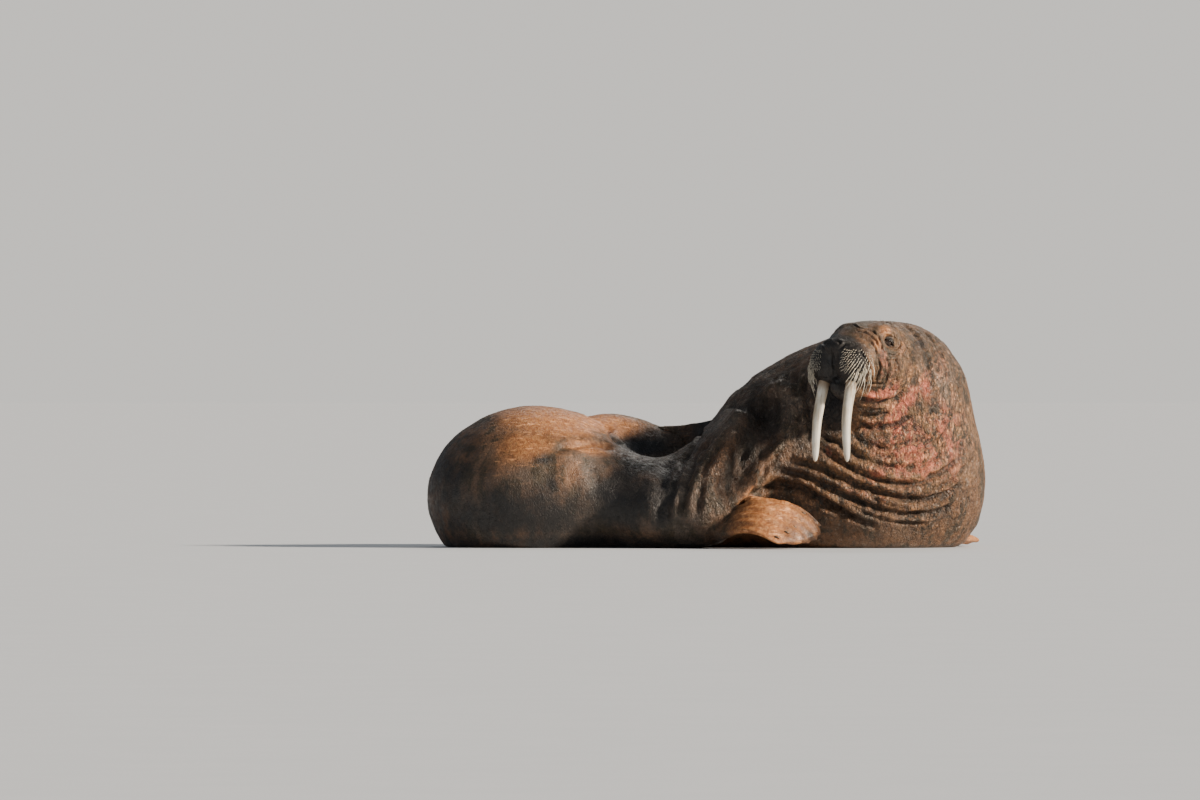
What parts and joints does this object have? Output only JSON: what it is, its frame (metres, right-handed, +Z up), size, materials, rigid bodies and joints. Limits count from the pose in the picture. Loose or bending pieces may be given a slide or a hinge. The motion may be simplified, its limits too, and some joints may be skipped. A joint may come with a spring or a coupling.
{
  "type": "walrus",
  "caption": "Adult bull walrus lying curled on its belly, head raised and turned, with long tusks, a full moustache of whiskers and folded hide.",
  "frame": {"origin": "on the floor, under the middle of the whole animal's box", "axes": "+X along the lying body from the bend of the rump to the chest, +Y away from the side that the face looks to, +Z up"},
  "size_m": [2.4036, 1.3476, 0.9742],
  "materials": {
    "hide": "wrinkled, matt to slightly damp",
    "muzzle_hide": "wrinkled, damp",
    "flipper_hide": "ridged, damp",
    "dark_hide": "ridged, damp",
    "ivory": "worn satin ivory",
    "eye": "wet, glossy",
    "whisker": "pale horn, satin",
    "claw": "dark horn, satin"
  },
  "bodies": {
    "root": {"neck": "hide", "torso_front": "hide", "torso_middle": "hide", "torso_rear": "hide", "hindquarters": "hide", "head": "hide", "lower_jaw": "muzzle_hide", "whisker_pad_left": "muzzle_hide", "whisker_pad_right": "muzzle_hide", "tusk_left": "ivory", "tusk_right": "ivory", "eye_left": "eye", "eye_right": "eye", "eyelids_left": "hide", "eyelids_right": "hide", "fore_flipper_left": "flipper_hide", "fore_flipper_right": "flipper_hide", "hind_flipper_left": "dark_hide", "hind_flipper_right": "dark_hide", "tail": "dark_hide"}
  },
  "joints": []
}
